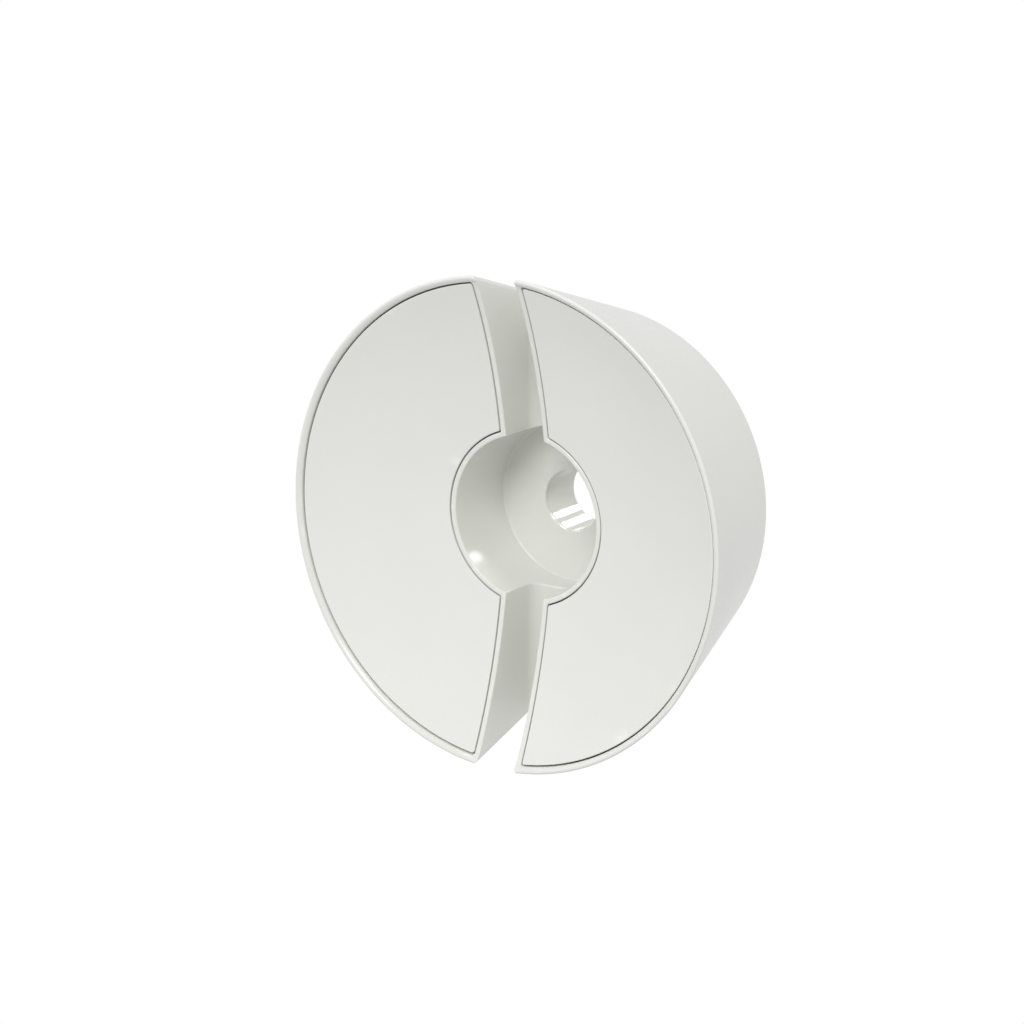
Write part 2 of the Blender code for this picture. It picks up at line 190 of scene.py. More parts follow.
# Worked out from the above
SPHERE_Z = DISH_LOW_Z + DISH_RADIUS
RIM_CENTRE_R = FRONT_RADIUS - RIM_ROUND
RIM_CENTRE_Z = FRONT_Z - RIM_ROUND
BEAD_CENTRE_R = RIM_CENTRE_R - (BEAD_ROUND - RIM_ROUND) * cos(BEAD_MEET)
BEAD_CENTRE_Z = RIM_CENTRE_Z - (BEAD_ROUND - RIM_ROUND) * sin(BEAD_MEET)
BEAD_START = BEAD_CENTRE_R + BEAD_ROUND * cos(BEAD_FOOT)
SIDE_TOP = RIM_CENTRE_Z - RIM_ROUND * sin(TAPER)
RECESS_OUTER = FRONT_RADIUS - OUTER_LIP
RECESS_SLOT = SLOT_HALF + SLOT_LIP
RECESS_CUP = CUP_RADIUS + CUP_LIP
WALL_LOW_Z = PLATE_TOP_Z + GAP
COLLAR_TOP_Z = WALL_LOW_Z + GAP + SLEEVE_COLLAR
SLEEVE_TOP_Z = sleeve_high.z
WASHER_LOW_Z = CHAMBER_FLOOR_Z + GAP
HEAD_LOW_Z = WASHER_LOW_Z + WASHER_THICKNESS + GAP
SOCKET_FLANGE_Z = POST_TOP_Z + GAP
FLOOR_HALF = SLOT_HALF - SLOT_FILLET
HEAD_TOP_Z = HEAD_LOW_Z + SCREW_HEAD
SIDES = {"left": -1, "right": 1}


# Small helpers

def arc(centre_r, centre_z, radius, start, end, steps):
    """Points along an arc, angles in degrees from the outward direction."""
    angles = [radians(start + (end - start) * i / steps) for i in range(steps + 1)]
    return [(centre_r + radius * cos(a), centre_z + radius * sin(a)) for a in angles]


def between(start, end, steps):
    """Evenly spaced numbers from start to end, both included."""
    return [start + (end - start) * i / steps for i in range(steps + 1)]


def dish_z(radius, rise=0.0):
    """Height of the dish's sphere, or of one that stands off it by rise, at a radius."""
    return SPHERE_Z - sqrt((DISH_RADIUS - rise) ** 2 - radius ** 2)


def cone_radius(height, inset=0.0):
    """Radius of the housing's side at a height, or of a surface inset from it."""
    at_rim = RIM_CENTRE_R + RIM_ROUND * cos(TAPER)
    return at_rim - (SIDE_TOP - height) * tan(TAPER) - inset / cos(TAPER)


def top_z(radius):
    """Height of the housing's front at a radius, level from the rim's crest outwards."""
    if radius <= BEAD_START:
        return dish_z(radius)
    if radius <= RIM_CENTRE_R + RIM_ROUND * cos(BEAD_MEET):
        return BEAD_CENTRE_Z + sqrt(BEAD_ROUND ** 2 - (radius - BEAD_CENTRE_R) ** 2)
    beyond = min(radius - RIM_CENTRE_R, 0.0)
    return RIM_CENTRE_Z + sqrt(RIM_ROUND ** 2 - beyond ** 2)


def polar(distance, angle, side):
    """Place on one side of the slot, at an angle in degrees from the X axis."""
    return (side * distance * cos(radians(angle)), distance * sin(radians(angle)))


def mesh_object(name, vertices, faces):
    """A linked object whose faces all point outwards."""
    mesh = bpy.data.meshes.new(name)
    mesh.from_pydata(vertices, [], faces)
    work = bmesh.new()
    work.from_mesh(mesh)
    bmesh.ops.recalc_face_normals(work, faces=work.faces)
    work.to_mesh(mesh)
    work.free()
    item = bpy.data.objects.new(name, mesh)
    bpy.context.scene.collection.objects.link(item)
    return item


def turned(name, profile, closed=True, steps=LARGE_STEPS, at=(0, 0)):
    """A profile of (radius, height) points turned round an axis along Z. One that isn't closed
    starts and ends on the axis."""
    vertices = []
    rings = []
    for radius, height in profile:
        if radius == 0.0:
            rings.append([len(vertices)] * steps)
            vertices.append((at[0], at[1], height))
            continue
        rings.append(list(range(len(vertices), len(vertices) + steps)))
        for i in range(steps):
            angle = 2 * pi * i / steps
            vertices.append((at[0] + radius * cos(angle), at[1] + radius * sin(angle), height))
    pairs = list(zip(rings, rings[1:]))
    if closed:
        pairs.append((rings[-1], rings[0]))
    faces = []
    for upper, lower in pairs:
        for i in range(steps):
            j = (i + 1) % steps
            corners = [upper[i], lower[i], lower[j], upper[j]]
            faces.append(list(dict.fromkeys(corners)))
    return mesh_object(name, vertices, faces)


def joined(name, items):
    """Separate solids as one object, for one Boolean."""
    work = bmesh.new()
    for item in items:
        work.from_mesh(item.data)
        bpy.data.objects.remove(item)
    mesh = bpy.data.meshes.new(name)
    work.to_mesh(mesh)
    work.free()
    result = bpy.data.objects.new(name, mesh)
    bpy.context.scene.collection.objects.link(result)
    return result


def apply_modifiers(item):
    """The object's evaluated mesh in place of its own."""
    graph = bpy.context.evaluated_depsgraph_get()
    mesh = bpy.data.meshes.new_from_object(item.evaluated_get(graph))
    item.modifiers.clear()
    item.data = mesh


def combine(item, other, operation):
    """One Boolean, applied at once. The other solid is used up."""
    boolean = item.modifiers.new(operation.lower(), "BOOLEAN")
    boolean.object = other
    boolean.operation = operation
    boolean.solver = "EXACT"
    bpy.context.view_layer.update()
    apply_modifiers(item)
    bpy.data.objects.remove(other)
    return item


def half_moon(slot_x, outer, cup, corner):
    """Outline of the region right of the slot, between the cup and the outer circle."""
    corner_x = slot_x + corner
    outer_y = sqrt((outer - corner) ** 2 - corner_x ** 2)
    cup_y = sqrt((cup + corner) ** 2 - corner_x ** 2)
    outer_end = degrees(atan2(outer_y, corner_x))
    cup_end = degrees(atan2(cup_y, corner_x))
    line = between(outer_y, cup_y, LARGE_STEPS // 10)[1:-1]
    return [
        *arc(0, 0, outer, -outer_end, outer_end, LARGE_STEPS // 2),
        *arc(corner_x, outer_y, corner, outer_end, 180, CORNER_STEPS)[1:],
        *[(slot_x, y) for y in line],
        *arc(corner_x, cup_y, corner, 180, 180 + cup_end, CORNER_STEPS),
        *arc(0, 0, cup, cup_end, -cup_end, LARGE_STEPS // 4)[1:],
        *arc(corner_x, -cup_y, corner, 180 - cup_end, 180, CORNER_STEPS)[1:],
        *[(slot_x, -y) for y in reversed(line)],
        *arc(corner_x, -outer_y, corner, 180, 360 - outer_end, CORNER_STEPS)[:-1],
    ]


def flare(rounding, turn, count):
    """(depth, offset) steps of an edge cutter: up a rounded edge that turns by an angle, past the
    surface and then far beyond it."""
    end = turn - EDGE_MARGIN
    steps = []
    for fraction in between(0, 1, count):
        theta = end * fraction
        steps.append((rounding * (tan(turn / 2) - sin(theta)), rounding * (1 - cos(theta))))
    depth, offset = steps[-1]
    depth -= FLARE_REACH * rounding * cos(end)
    offset += FLARE_REACH * rounding * sin(end)
    return [*steps, (depth, offset), (-FAR, offset)]


# Housing

def smooth_step(value):
    """0 below 0, 1 above 1 and an eased rise between."""
    value = min(max(value, 0.0), 1.0)
    return value * value * (3 - 2 * value)


def top_line():
    """The housing's front from the cup's wall to its side, as (radius, height) points."""
    centre_r = CUP_RADIUS + CUP_LIP_ROUND
    centre_z = dish_z(centre_r, -CUP_LIP_ROUND)
    tangent = degrees(atan2(SPHERE_Z - centre_z, -centre_r))
    lip = arc(centre_r, centre_z, CUP_LIP_ROUND, 180, tangent, 6)
    sphere = [(radius, dish_z(radius)) for radius in between(lip[-1][0], BEAD_START, 28)[1:-1]]
    bead = arc(BEAD_CENTRE_R, BEAD_CENTRE_Z, BEAD_ROUND, degrees(BEAD_FOOT), degrees(BEAD_MEET), 8)
    crest = arc(RIM_CENTRE_R, RIM_CENTRE_Z, RIM_ROUND, degrees(BEAD_MEET), 0, 8)[1:]
    side = (RIM_CENTRE_R + RIM_ROUND * cos(TAPER), SIDE_TOP)
    return [*lip, *sphere, *bead, *crest, side]


def housing_section():
    """Half section of the housing before its slot and chambers are cut."""
    foot_z = BACK_Z + BACK_ROUND
    foot_r = cone_radius(foot_z, BACK_ROUND)
    recess = PLATE_RADIUS + GAP
    return [
        *top_line(),
        *[(cone_radius(z), z) for z in between(SIDE_TOP, foot_z, 8)[1:-1]],
        *arc(foot_r, foot_z, BACK_ROUND, -degrees(TAPER), -90, 5),
        *arc(recess + MOUTH_ROUND, BACK_Z + MOUTH_ROUND, MOUTH_ROUND, 270, 180, 4),
        (recess, WALL_LOW_Z),
        (CORE_OUTER, WALL_LOW_Z),
        (CORE_OUTER, CORE_TOP_Z),
        (CORE_INNER, CORE_TOP_Z),
        (CORE_INNER, WALL_LOW_Z),
        (SLEEVE_COLLAR_RADIUS + GAP, WALL_LOW_Z),
        (SLEEVE_COLLAR_RADIUS + GAP, COLLAR_TOP_Z + GAP),
        (SLEEVE_RADIUS + GAP, COLLAR_TOP_Z + GAP),
        (SLEEVE_RADIUS + GAP, CUP_FLOOR_Z - MOUTH_LIP),
        (BORE_RADIUS, CUP_FLOOR_Z - MOUTH_LIP),
        *arc(BORE_RADIUS + MOUTH_ROUND, CUP_FLOOR_Z - MOUTH_ROUND, MOUTH_ROUND, 180, 90, 4),
        *[(r, CUP_FLOOR_Z) for r in between(BORE_RADIUS, CUP_RADIUS - CUP_FILLET, 5)[1:-1]],
        *arc(CUP_RADIUS - CUP_FILLET, CUP_FLOOR_Z + CUP_FILLET, CUP_FILLET, 270, 360, 8),
        *[(CUP_RADIUS, z) for z in between(CUP_FLOOR_Z + CUP_FILLET, top_line()[0][1], 6)[1:-1]],
    ]


def channel():
    """Half of the slot's cross-section, from its floor's middle: x, z, normal into the material."""
    points = [(x, SLOT_FLOOR_Z, (0.0, -1.0)) for x in between(0, FLOOR_HALF, 3)]
    for turn in between(0, pi / 2, 10)[1:]:
        points.append((FLOOR_HALF + SLOT_FILLET * sin(turn),
                       SLOT_FLOOR_Z + SLOT_FILLET * (1 - cos(turn)), (sin(turn), -cos(turn))))
    return points


def slot_point(section, station, lip_step):
    """Point of the slot cutter. The section is a point of the floor's cross-section or of the wall,
    whose height lip_step gives: a share of the way up, or a (depth, offset) step below the lip. The
    station is a step of the cup's edge or the side's edge, or a share of the way between."""
    x, z, normal = section
    y = 0.5 * (CUP_RADIUS + FRONT_RADIUS)
    for _ in range(SETTLING_ROUNDS):
        if lip_step is not None:
            low = SLOT_FLOOR_Z + SLOT_FILLET
            high = top_z(min(sqrt(x * x + y * y), FRONT_RADIUS))
            if isinstance(lip_step, float):
                z = low + (high - LIP_EDGE - low) * lip_step
            else:
                z = high - lip_step[0]
        outer = cone_radius(min(z, SIDE_TOP))
        near, far = sqrt(CUP_RADIUS ** 2 - x * x), sqrt(outer ** 2 - x * x)
        kind, value = station
        inwards = Vector((-normal[0], 0, -normal[1]))
        side_normal = Vector((x / outer * cos(TAPER), far / outer * cos(TAPER), -sin(TAPER)))
        cup_flare = flare(CUP_EDGE, inwards.angle(Vector((-x, -near, 0))), EDGE_STEPS)
        side_flare = flare(SIDE_EDGE, inwards.angle(side_normal), EDGE_STEPS)
        if kind == "cup":
            y, offset = near + cup_flare[value][0], cup_flare[value][1]
        elif kind == "side":
            y, offset = far - side_flare[value][0], side_flare[value][1]
        else:
            start, end = near + cup_flare[0][0], far - side_flare[0][0]
            y, offset = start + (end - start) * value, 0.0
    if isinstance(lip_step, tuple):
        offset += lip_step[1]
    return x + normal[0] * offset, y, z + normal[1] * offset


def slot_cutter(name, side):
    """One arm of the slot, flared where it meets the surface so that its edges come out rounded."""
    stations = [("cup", i) for i in reversed(range(EDGE_STEPS + 3))]
    stations += [("between", share) for share in between(0, 1, 30)[1:-1]]
    stations += [("side", i) for i in range(EDGE_STEPS + 3)]
    wall = (SLOT_HALF, 0.0, (1.0, 0.0))
    rows = [(section, None) for section in channel()]
    rows += [(wall, share) for share in between(0, 1, 8)[1:-1]]
    rows += [(wall, step) for step in flare(LIP_EDGE, pi / 2, EDGE_STEPS)]
    vertices = []
    for mirror in (1, -1):
        for section, lip_step in rows:
            for station in stations:
                x, y, z = slot_point(section, station, lip_step)
                vertices.append((mirror * x, side * y, z))
    across, along = len(rows), len(stations)

    def index(row, station, mirror):
        """Vertex number. The two halves share the first row."""
        if row == 0:
            mirror = 1
        return (0 if mirror == 1 else across * along) + row * along + station

    faces = []
    for row in range(across - 1):
        for i in range(along - 1):
            for mirror in (1, -1):
                faces.append([index(row, i, mirror), index(row, i + 1, mirror),
                              index(row + 1, i + 1, mirror), index(row + 1, i, mirror)])
    edge = [(row, 0) for row in range(across)]
    edge += [(across - 1, i) for i in range(1, along)]
    edge += [(row, along - 1) for row in reversed(range(across - 1))]
    for first, second in zip(edge, edge[1:]):
        corners = [index(*first, 1), index(*second, 1), index(*second, -1), index(*first, -1)]
        faces.append(list(dict.fromkeys(corners)))
    used = sorted({corner for face in faces for corner in face})
    place = {old: new for new, old in enumerate(used)}
    return mesh_object(name, [vertices[old] for old in used],
                       [[place[corner] for corner in face] for face in faces])


def outline_normals(outline):
    """Normals of a closed outline that runs anticlockwise, pointing outwards."""
    count = len(outline)
    normals = []
    for i in range(count):
        before = outline[i - 1]
        after = outline[(i + 1) % count]
        normals.append(Vector((after[1] - before[1], before[0] - after[0])).normalized())
    return normals


def front_normal(x, y, rise):
    """Normal, out of the material, of a sphere that stands off the dish's by rise."""
    radius = sqrt(x * x + y * y)
    return Vector((-x, -y, SPHERE_Z - dish_z(radius, rise))).normalized()


def walls(levels, count):
    """Four-cornered faces between each loop of count points and the next."""
    faces = []
    for low in range(0, (levels - 1) * count, count):
        for i in range(count):
            j = (i + 1) % count
            faces.append([low + i, low + j, low + count + j, low + count + i])
    return faces


def stacked(name, loops, side):
    """Loops of equally many points joined in order into a solid, and mirrored if side is -1."""
    count = len(loops[0])
    vertices = [(side * x, y, z) for loop in loops for x, y, z in loop]
    faces = walls(len(loops), count)
    for start, loop in ((0, loops[0]), (len(vertices) - count, loops[-1])):
        flat = [Vector((x, y, 0.0)) for x, y, _ in loop]
        faces.extend([start + i for i in triangle] for triangle in tessellate_polygon([flat]))
    return mesh_object(name, vertices, faces)


def pocket_cutter(name, side):
    """The recess for one cover, its ledge and the chamber below."""
    outline = half_moon(RECESS_SLOT, RECESS_OUTER, RECESS_CUP, COVER_CORNER)
    normals = outline_normals(outline)
    columns = []
    for (x, y), normal in zip(outline, normals):
        radius = sqrt(x * x + y * y)
        turn = Vector((-normal.x, -normal.y, 0)).angle(front_normal(x, y, 0))
        share = smooth_step((RECESS_OUTER - radius) / EDGE_FADE)
        rounding = RECESS_EDGE * share + LEAST_EDGE
        column = []
        for depth, offset in reversed(flare(rounding, turn, RECESS_STEPS)):
            height = FRONT_Z + FAR if depth == -FAR else dish_z(radius) - depth
            column.append((x + normal.x * offset, y + normal.y * offset, height))
        columns.append(column)
    loops = [list(loop) for loop in zip(*columns)]
    ledge_rise = -COVER_THICKNESS - GAP
    loops.append([(x, y, dish_z(sqrt(x * x + y * y), ledge_rise)) for x, y in outline])

    def chamber(outer_z):
        """The chamber's outline, as wide as the wall allows at a height."""
        outer = cone_radius(outer_z, WALL)
        return half_moon(SLOT_HALF + SLOT_WALL, outer, CUP_RADIUS + CUP_WALL, CHAMBER_CORNER)

    ledge_z = dish_z(cone_radius(LEDGE_REACH_Z, WALL), ledge_rise)
    loops.append([(x, y, dish_z(sqrt(x * x + y * y), ledge_rise)) for x, y in chamber(ledge_z)])
    loops.append([(x, y, CHAMBER_FLOOR_Z) for x, y in chamber(CHAMBER_FLOOR_Z)])
    return stacked(name, loops, side)


def peg_post(angle, side):
    """Post on a chamber floor, with the blind hole that holds a rubber socket."""
    low = CHAMBER_FLOOR_Z - OVERLAP
    hole = SOCKET_RADIUS + GAP
    hole_low = SOCKET_BASE_Z - GAP
    edge = POST_EDGE
    profile = [
        (0.0, hole_low),
        (hole, hole_low),
        *arc(hole + edge, POST_TOP_Z - edge, edge, 180, 90, 3),
        *arc(POST_RADIUS - edge, POST_TOP_Z - edge, edge, 90, 0, 3),
        (POST_RADIUS, low),
        (0.0, low),
    ]
    at = polar(PEG_RING, angle, side)
    return turned("peg_post", profile, closed=False, steps=SMALL_STEPS, at=at)


def screw_hole(angle, side):
    """Cutter for a screw's clearance hole, through the chamber's floor and the back plate."""
    radius = SCREW_RADIUS + GAP
    low, high = BACK_Z - OVERLAP, CHAMBER_FLOOR_Z + OVERLAP
    profile = [(0.0, high), (radius, high), (radius, low), (0.0, low)]
    at = polar(SCREW_RING, angle, side)
    return turned("screw_hole", profile, closed=False, steps=SMALL_STEPS, at=at)


def slot_core(side):
    """Coring under one slot arm, open at the back."""
    corner = POCKET_CORNER
    outline = []
    centres = [(1, 1, 0), (-1, 1, 90), (-1, -1, 180), (1, -1, 270)]
    middle = (POCKET_START + POCKET_END) / 2
    half = (POCKET_END - POCKET_START) / 2
    for sign_x, sign_y, start in centres:
        centre_x = sign_x * (POCKET_HALF - corner)
        centre_y = middle + sign_y * (half - corner)
        outline += arc(centre_x, centre_y, corner, start, start + 90, 6)
    loops = [[(x, side * y, z) for x, y in outline] for z in (WALL_LOW_Z - OVERLAP, POCKET_TOP_Z)]
    return stacked("slot_core", loops, 1)


def every(angles):
    """(angle, side) of each such place on both sides of the slot."""
    return [(angle, side) for side in SIDES.values() for angle in angles]


def make_housing():
    """The turned shell, less the covers' recesses, slot, coring and screw holes, plus the posts."""
    housing = turned("housing_shell", housing_section())
    cutters = [pocket_cutter(name + "_pocket", side) for name, side in SIDES.items()]
    cutters += [slot_cutter("slot", side) for side in SIDES.values()]
    cutters += [slot_core(side) for side in SIDES.values()]
    for cutter in cutters:
        combine(housing, cutter, "DIFFERENCE")
    combine(housing, joined("posts", [peg_post(*at) for at in every(PEG_ANGLES)]), "UNION")
    return combine(housing, joined("holes", [screw_hole(*at) for at in every(SCREW_ANGLES)]),
                   "DIFFERENCE")


# Covers and small parts

def cover_face(outline, rise):
    """Triangles that span an outline on a sphere, over a triangular grid of points inside it: all
    the points, the outline's first, and the faces."""
    border = [Vector(point) for point in outline]
    count = len(border)
    inner = []
    steps = 2 * int(RECESS_OUTER / COVER_GRID) + 2
    margin = GRID_MARGIN * COVER_GRID + COVER_EDGE
    for i in range(1, steps):
        for j in range(-steps, steps):
            x = i * COVER_GRID * GRID_ROW
            y = (j + (i % 2) / 2) * COVER_GRID
            radius = sqrt(x * x + y * y)
            in_ring = RECESS_CUP + margin <= radius <= RECESS_OUTER - margin
            if in_ring and x >= RECESS_SLOT + margin:
                inner.append(Vector((x, y)))
    edges = [(i, (i + 1) % count) for i in range(count)]
    points, _, faces, *_ = delaunay_2d_cdt(border + inner, edges, [], 1, POINT_TOLERANCE)
    assert len(points) == count + len(inner)
    lift = [(p.x, p.y, dish_z(p.length, rise)) for p in points]
    return lift, [list(face) for face in faces]


def make_cover(name, side):
    """A dished plate with rounded edges and three barbed pegs under it."""
    outline = half_moon(RECESS_SLOT + GAP, RECESS_OUTER - GAP, RECESS_CUP + GAP, COVER_CORNER)
    normals = outline_normals(outline)
    loops = []
    for level in range(COVER_EDGE_STEPS + 1):
        loop = []
        for (x, y), normal in zip(outline, normals):
            turn = Vector((normal.x, normal.y, 0)).angle(front_normal(x, y, 0))
            theta = turn * level / COVER_EDGE_STEPS
            depth = COVER_EDGE * (tan(turn / 2) - sin(theta))
            inset = COVER_EDGE * (1 - cos(theta))
            at_x, at_y = x - normal.x * inset, y - normal.y * inset
            height = dish_z(sqrt(x * x + y * y)) - depth
            if level == COVER_EDGE_STEPS:
                height = dish_z(sqrt(at_x * at_x + at_y * at_y))
            loop.append((at_x, at_y, height))
        loops.append(loop)
    loops.insert(0, [(x, y, dish_z(sqrt(x * x + y * y), -COVER_THICKNESS)) for x, y in outline])
    count = len(outline)
    vertices = [point for loop in loops for point in loop]
    faces = walls(len(loops), count)
    for start, loop, rise in ((0, loops[0], -COVER_THICKNESS),
                              (len(vertices) - count, loops[-1], 0.0)):
        points, inside = cover_face([(x, y) for x, y, _ in loop], rise)
        extra = len(vertices)
        vertices += points[count:]
        for face in inside:
            faces.append([start + i if i < count else extra + i - count for i in face])
    cover = mesh_object(name, [(side * x, y, z) for x, y, z in vertices], faces)
    root = dish_z(PEG_RING, -COVER_THICKNESS / 2)
    bulb_r = PEG_BULB_RADIUS - BULB_ROUND
    tip_r = PEG_RADIUS * PEG_TIP_SHARE - TIP_ROUND
    peg = [
        (0.0, root),
        (PEG_RADIUS, root),
        (PEG_RADIUS, PEG_TIP_Z + BULB_TOP),
        *arc(bulb_r, PEG_TIP_Z + BULB_HIGH, BULB_ROUND, 60, 0, 4),
        *arc(bulb_r, PEG_TIP_Z + BULB_LOW, BULB_ROUND, 0, -25, 3),
        *arc(tip_r, PEG_TIP_Z + TIP_ROUND, TIP_ROUND, -25, -90, 4),
        (0.0, PEG_TIP_Z),
    ]
    pegs = [turned("peg", peg, closed=False, steps=SMALL_STEPS, at=polar(PEG_RING, angle, side))
            for angle in PEG_ANGLES]
    return combine(cover, joined("pegs", pegs), "UNION")


def ring(inner, outer, low, high, edge):
    """Profile of a flat ring with four rounded edges."""
    return [
        *arc(inner + edge, high - edge, edge, 180, 90, 4),
        *arc(outer - edge, high - edge, edge, 90, 0, 4),
        *arc(outer - edge, low + edge, edge, 0, -90, 4),
        *arc(inner + edge, low + edge, edge, 270, 180, 4),
    ]


def make_sleeve():
    """Liner of the bore, with a collar that the back plate traps."""
    low = WALL_LOW_Z + GAP
    edge = SLEEVE_EDGE
    profile = [
        *arc(BORE_RADIUS + edge, SLEEVE_TOP_Z - edge, edge, 180, 90, 4),
        *arc(SLEEVE_RADIUS - edge, SLEEVE_TOP_Z - edge, edge, 90, 0, 4),
        (SLEEVE_RADIUS, COLLAR_TOP_Z),
        *arc(SLEEVE_COLLAR_RADIUS - edge, COLLAR_TOP_Z - edge, edge, 90, 0, 4),
        *arc(SLEEVE_COLLAR_RADIUS - edge, low + edge, edge, 0, -90, 4),
        (SLEEVE_RADIUS, low),
        *arc(SLEEVE_RADIUS - edge, BACK_Z + edge, edge, 0, -90, 4),
        *arc(BORE_RADIUS + edge, BACK_Z + edge, edge, 270, 180, 4),
    ]
    return turned("bore_liner", profile, steps=SLEEVE_STEPS)


def make_plate():
    """Steel disc with four screw holes."""
    profile = ring(SLEEVE_RADIUS + GAP, PLATE_RADIUS, PLATE_LOW_Z, PLATE_TOP_Z, PLATE_EDGE)
    plate = turned("steel_plate", profile)
    holes = [screw_hole(*at) for at in every(SCREW_ANGLES)]
    return combine(plate, joined("holes", holes), "DIFFERENCE")


def make_pad():
    """Soft ring with shallow concentric ribs on its lower face."""
    edge = PAD_EDGE
    ribs = []
    radius = PAD_RADIUS - 2 * RIB_PITCH
    while radius > PAD_HOLE + 1.5 * RIB_PITCH:
        ribs += [(radius, 0.0), (radius - 0.3 * RIB_PITCH, RIB_DEPTH),
                 (radius - 0.5 * RIB_PITCH, RIB_DEPTH), (radius - 0.8 * RIB_PITCH, 0.0)]
        radius -= RIB_PITCH
    profile = [
        *arc(PAD_HOLE + edge, PAD_TOP_Z - edge, edge, 180, 90, 4),
        *arc(PAD_RADIUS - edge, PAD_TOP_Z - edge, edge, 90, 0, 4),
        *arc(PAD_RADIUS - edge, edge, edge, 0, -90, 4),
        *ribs,
        *arc(PAD_HOLE + edge, edge, edge, 270, 180, 4),
    ]
    return turned("soft_pad", profile, steps=PAD_STEPS)


def make_screw(name, angle, side):
    """Pan head machine screw with a hexagon socket and a threaded shank."""
    edge = SCREW_EDGE
    root = SCREW_RADIUS - THREAD_DEPTH
    thread = []
    height = HEAD_LOW_Z - PLAIN_SHANK
    while height > SCREW_END_Z + PLAIN_END:
        thread += [(SCREW_RADIUS, height), (SCREW_RADIUS, height - 0.15 * THREAD_PITCH),
                   (root, height - 0.5 * THREAD_PITCH), (root, height - 0.65 * THREAD_PITCH)]
        height -= THREAD_PITCH
    profile = [
        (0.0, HEAD_TOP_Z),
        (HEAD_TOP_RADIUS, HEAD_TOP_Z),
        *arc(SCREW_HEAD_RADIUS - HEAD_ROUND, HEAD_TOP_Z - HEAD_ROUND, HEAD_ROUND, 80, 0, 8),
        *arc(SCREW_HEAD_RADIUS - edge, HEAD_LOW_Z + edge, edge, 0, -90, 3),
        (SCREW_RADIUS, HEAD_LOW_Z),
        *thread,
        (SCREW_RADIUS, SCREW_END_Z + POINT_HEIGHT),
        (SCREW_RADIUS * POINT_SHARE, SCREW_END_Z),
        (0.0, SCREW_END_Z),
    ]
    at = polar(SCREW_RING, angle, side)
    screw = turned(name, profile, closed=False, steps=SMALL_STEPS, at=at)
    above, low = HEAD_TOP_Z + KEY_CLEAR, HEAD_TOP_Z - HEX_KEY_DEPTH
    key = [(0.0, above), (HEX_KEY_RADIUS + KEY_CLEAR + KEY_CHAMFER, above),
           (HEX_KEY_RADIUS, HEAD_TOP_Z - KEY_CHAMFER), (HEX_KEY_RADIUS, low),
           (0.0, low - KEY_POINT)]
    return combine(screw, turned("key", key, closed=False, steps=6, at=at), "DIFFERENCE")


def make_washer(name, angle, side):
    """Flat washer between a screw's head and the chamber's floor."""
    profile = ring(SCREW_RADIUS + GAP, WASHER_RADIUS, WASHER_LOW_Z,
                   WASHER_LOW_Z + WASHER_THICKNESS, WASHER_EDGE)
    return turned(name, profile, steps=SMALL_STEPS, at=polar(SCREW_RING, angle, side))


def make_socket(name, angle, side):
    """Rubber tube with a flange on the post's top."""
    edge = SOCKET_EDGE
    high = SOCKET_FLANGE_Z + SOCKET_FLANGE
    profile = [
        *arc(SOCKET_BORE + edge, high - edge, edge, 180, 90, 4),
        *arc(SOCKET_FLANGE_RADIUS - edge, high - edge, edge, 90, 0, 4),
        *arc(SOCKET_FLANGE_RADIUS - edge, SOCKET_FLANGE_Z + edge, edge, 0, -90, 4),
        (SOCKET_RADIUS, SOCKET_FLANGE_Z),
        *arc(SOCKET_RADIUS - edge, SOCKET_BASE_Z + edge, edge, 0, -90, 4),
        *arc(SOCKET_BORE + edge, SOCKET_BASE_Z + edge, edge, 270, 180, 4),
    ]
    at = polar(PEG_RING, angle, side)
    return turned(name, profile, steps=SMALL_STEPS, at=at)


def finish_surface(item, material, sharp):
    """Smooth shading with flat faces kept flat, edges sharp from an angle up, and the material."""
    mesh = item.data
    mesh.materials.clear()
    mesh.materials.append(material)
    mesh.polygons.foreach_set("material_index", [0] * len(mesh.polygons))
    mesh.shade_smooth()
    mesh.set_sharp_from_angle(angle=radians(sharp))
    weighted = item.modifiers.new("weighted", "WEIGHTED_NORMAL")
    weighted.keep_sharp = True
    weighted.weight = FLAT_FACE_WEIGHT
    apply_modifiers(item)
    return item


# Materials

HOUSING_COLOUR = (0.790, 0.797, 0.752)
COVER_COLOUR = (0.800, 0.806, 0.768)
# colour painted as shade deep in the gaps round the covers
GAP_SHADE_COLOUR = (0.68, 0.68, 0.60)
PLATE_COLOUR = (0.62, 0.63, 0.64)
SCREW_COLOUR = (0.56, 0.57, 0.58)
SOCKET_COLOUR = (0.055, 0.055, 0.055)
PAD_COLOUR = (0.14, 0.14, 0.14)
MOULD_GRAIN = 0.000003      # reliefs, in metres
POLISHED_GRAIN = 0.000001
PLASTIC_WAVES = 0.00002
STEEL_GRAIN = 0.00001
RUBBER_GRAIN = 0.00004
# reach of the ambient occlusion that places the painted gap shade
GAP_SHADE_REACH = 0.0016
SPANGLE_SCALE = 420.0


def material_nodes(name):
    """A new material, its nodes, its shader and the object's own coordinates."""
    material = bpy.data.materials.new(name)
    material.use_nodes = True
    tree = material.node_tree
    shader = tree.nodes["Principled BSDF"]
    coordinates = tree.nodes.new("ShaderNodeTexCoord").outputs["Object"]
    return material, tree, shader, coordinates


def noise(tree, coordinates, scale, detail=2.0, roughness=0.5):
    """Soft noise, mostly between 0.3 and 0.7, with about scale features to the metre."""
    node = tree.nodes.new("ShaderNodeTexNoise")
    node.inputs["Scale"].default_value = scale
    node.inputs["Detail"].default_value = detail
    node.inputs["Roughness"].default_value = roughness
    tree.links.new(coordinates, node.inputs["Vector"])
    return node.outputs["Fac"]


